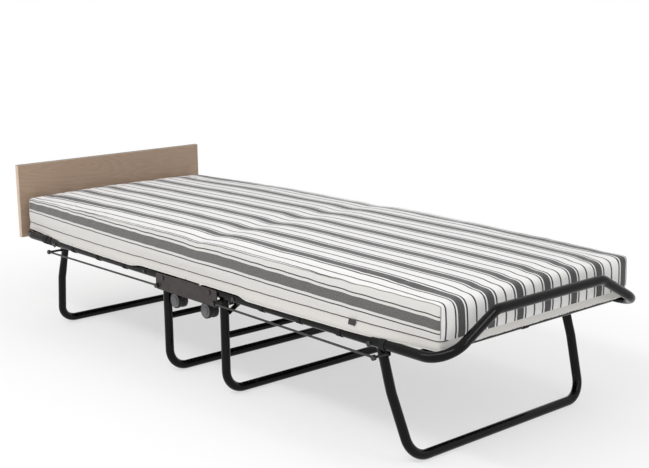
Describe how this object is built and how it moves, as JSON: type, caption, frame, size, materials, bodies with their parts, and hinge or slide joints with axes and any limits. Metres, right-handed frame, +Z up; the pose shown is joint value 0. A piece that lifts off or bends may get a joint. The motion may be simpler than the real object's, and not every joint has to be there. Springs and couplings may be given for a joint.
{
  "type": "folding guest bed",
  "caption": "Folding guest bed: hinged tubular halves, mesh base, striped mattress, headboard that becomes a table top, legs that fold by themselves, swivel castors.",
  "frame": {"origin": "on the floor, under the middle of the fold between the two centre legs", "axes": "+X towards the foot end, +Y across the bed away from the pictured side, +Z up"},
  "size_m": [1.9997, 0.7864, 0.525],
  "materials": {
    "black_tube": "gloss black powder coat",
    "brown_plate": "satin dark brown coat",
    "zinc": "blackened steel",
    "rod_steel": "dark drawn steel",
    "spacer_plastic": "matte",
    "castor_grey": "satin grey",
    "castor_black": "satin black",
    "castor_tyre": "matte",
    "laminate": "oak-grain laminate",
    "edge_band": "light edge band",
    "mesh": "open woven mesh",
    "webbing": "woven webbing",
    "ticking": "striped woven ticking"
  },
  "bodies": {
    "centre_unit": {"channel_plate_near": "brown_plate", "channel_plate_far": "brown_plate", "castor_bars": "black_tube", "castor_sockets": "black_tube", "fold_bolts": "zinc", "centre_leg_bolts": "zinc", "pivot_spacers": "spacer_plastic", "mattress_middle": "ticking"},
    "head_frame": {"head_frame_loop": "black_tube", "head_outer_crossbar": "black_tube", "head_inner_crossbar": "black_tube", "head_mesh_panel": "mesh", "head_mesh_hem": "webbing", "head_mesh_straps": "webbing", "head_pivot_bushes": "spacer_plastic", "head_end_leg_bolts": "zinc", "head_strut_pins": "zinc", "mattress_head": "ticking", "headboard": "laminate", "headboard_edging": "edge_band", "headboard_brackets": "black_tube", "headboard_bolts": "zinc", "head_tie_straps": "webbing"},
    "head_end_leg_unit": {"head_end_leg": "black_tube", "head_rod_lugs": "black_tube", "head_rod_pins": "zinc"},
    "head_rods": {"head_link_rods": "rod_steel"},
    "head_centre_leg_unit": {"head_centre_leg": "black_tube", "head_centre_leg_brace": "black_tube"},
    "head_strut_pair": {"head_struts": "black_tube"},
    "castor_head_near": {"castor_housing_head_near": "castor_black"},
    "castor_wheel_head_near": {"castor_wheels_head_near": "castor_grey", "castor_tyres_head_near": "castor_tyre"},
    "castor_head_far": {"castor_housing_head_far": "castor_black"},
    "castor_wheel_head_far": {"castor_wheels_head_far": "castor_grey", "castor_tyres_head_far": "castor_tyre"},
    "foot_frame": {"foot_frame_loop": "black_tube", "foot_outer_crossbar": "black_tube", "foot_inner_crossbar": "black_tube", "foot_mesh_panel": "mesh", "foot_mesh_hem": "webbing", "foot_mesh_straps": "webbing", "foot_pivot_bushes": "spacer_plastic", "foot_end_leg_bolts": "zinc", "foot_strut_pins": "zinc", "mattress_foot": "ticking"},
    "foot_end_leg_unit": {"foot_end_leg": "black_tube", "foot_rod_lugs": "black_tube", "foot_rod_pins": "zinc"},
    "foot_rods": {"foot_link_rods": "rod_steel"},
    "foot_centre_leg_unit": {"foot_centre_leg": "black_tube", "foot_centre_leg_brace": "black_tube"},
    "foot_strut_pair": {"foot_struts": "black_tube"},
    "castor_foot_near": {"castor_housing_foot_near": "castor_black"},
    "castor_wheel_foot_near": {"castor_wheels_foot_near": "castor_grey", "castor_tyres_foot_near": "castor_tyre"},
    "castor_foot_far": {"castor_housing_foot_far": "castor_black"},
    "castor_wheel_foot_far": {"castor_wheels_foot_far": "castor_grey", "castor_tyres_foot_far": "castor_tyre"}
  },
  "joints": [
    {"name": "head_fold", "type": "hinge", "parent": "centre_unit", "child": "head_frame", "pos_m": [-0.113, 0, 0.296], "axis": [0, 1, 0], "range_deg": [0, 90], "deforming": ["mattress_middle"]},
    {"name": "head_centre_leg_fold", "type": "hinge", "parent": "centre_unit", "child": "head_centre_leg_unit", "pos_m": [-0.1385, 0, 0.27], "axis": [0, 1, 0], "range_deg": [0, 180]},
    {"name": "head_rod_swing", "type": "hinge", "parent": "centre_unit", "child": "head_rods", "pos_m": [-0.1385, 0, 0.27], "axis": [0, 1, 0], "range_deg": [0, 90]},
    {"name": "head_end_leg_swing", "type": "hinge", "parent": "head_frame", "child": "head_end_leg_unit", "pos_m": [-0.745, 0, 0.291], "axis": [0, 1, 0], "range_deg": [-90, 0]},
    {"name": "head_strut_swing", "type": "hinge", "parent": "head_frame", "child": "head_strut_pair", "pos_m": [-0.2158, 0, 0.296], "axis": [0, 1, 0], "range_deg": [-22.83, 0]},
    {"name": "castor_head_near_swivel", "type": "hinge", "parent": "centre_unit", "child": "castor_head_near", "pos_m": [-0.075, -0.343, 0.262], "axis": [0, 0, 1], "continuous": true},
    {"name": "castor_head_near_roll", "type": "hinge", "parent": "castor_head_near", "child": "castor_wheel_head_near", "pos_m": [-0.093, -0.343, 0.228], "axis": [0, 1, 0], "continuous": true},
    {"name": "castor_head_far_swivel", "type": "hinge", "parent": "centre_unit", "child": "castor_head_far", "pos_m": [-0.075, 0.343, 0.262], "axis": [0, 0, 1], "continuous": true},
    {"name": "castor_head_far_roll", "type": "hinge", "parent": "castor_head_far", "child": "castor_wheel_head_far", "pos_m": [-0.093, 0.343, 0.228], "axis": [0, 1, 0], "continuous": true},
    {"name": "foot_fold", "type": "hinge", "parent": "centre_unit", "child": "foot_frame", "pos_m": [0.113, 0, 0.296], "axis": [0, -1, 0], "range_deg": [0, 90], "deforming": ["mattress_middle"]},
    {"name": "foot_centre_leg_fold", "type": "hinge", "parent": "centre_unit", "child": "foot_centre_leg_unit", "pos_m": [0.1385, 0, 0.27], "axis": [0, -1, 0], "range_deg": [0, 180]},
    {"name": "foot_rod_swing", "type": "hinge", "parent": "centre_unit", "child": "foot_rods", "pos_m": [0.1385, 0, 0.27], "axis": [0, -1, 0], "range_deg": [0, 90]},
    {"name": "foot_end_leg_swing", "type": "hinge", "parent": "foot_frame", "child": "foot_end_leg_unit", "pos_m": [0.745, 0, 0.291], "axis": [0, -1, 0], "range_deg": [-90, 0]},
    {"name": "foot_strut_swing", "type": "hinge", "parent": "foot_frame", "child": "foot_strut_pair", "pos_m": [0.2158, 0, 0.296], "axis": [0, -1, 0], "range_deg": [-22.83, 0]},
    {"name": "castor_foot_near_swivel", "type": "hinge", "parent": "centre_unit", "child": "castor_foot_near", "pos_m": [0.075, -0.343, 0.262], "axis": [0, 0, 1], "continuous": true},
    {"name": "castor_foot_near_roll", "type": "hinge", "parent": "castor_foot_near", "child": "castor_wheel_foot_near", "pos_m": [0.057, -0.343, 0.228], "axis": [0, 1, 0], "continuous": true},
    {"name": "castor_foot_far_swivel", "type": "hinge", "parent": "centre_unit", "child": "castor_foot_far", "pos_m": [0.075, 0.343, 0.262], "axis": [0, 0, 1], "continuous": true},
    {"name": "castor_foot_far_roll", "type": "hinge", "parent": "castor_foot_far", "child": "castor_wheel_foot_far", "pos_m": [0.057, 0.343, 0.228], "axis": [0, 1, 0], "continuous": true}
  ],
  "couplings": [
    {"joint": "head_centre_leg_fold", "follows": "head_fold", "ratio": 2},
    {"joint": "head_rod_swing", "follows": "head_fold", "ratio": 1},
    {"joint": "head_end_leg_swing", "follows": "head_fold", "ratio": -1},
    {"joint": "head_strut_swing", "follows": "head_fold", "ratio": -0.25362},
    {"joint": "foot_centre_leg_fold", "follows": "foot_fold", "ratio": 2},
    {"joint": "foot_rod_swing", "follows": "foot_fold", "ratio": 1},
    {"joint": "foot_end_leg_swing", "follows": "foot_fold", "ratio": -1},
    {"joint": "foot_strut_swing", "follows": "foot_fold", "ratio": -0.25362}
  ]
}
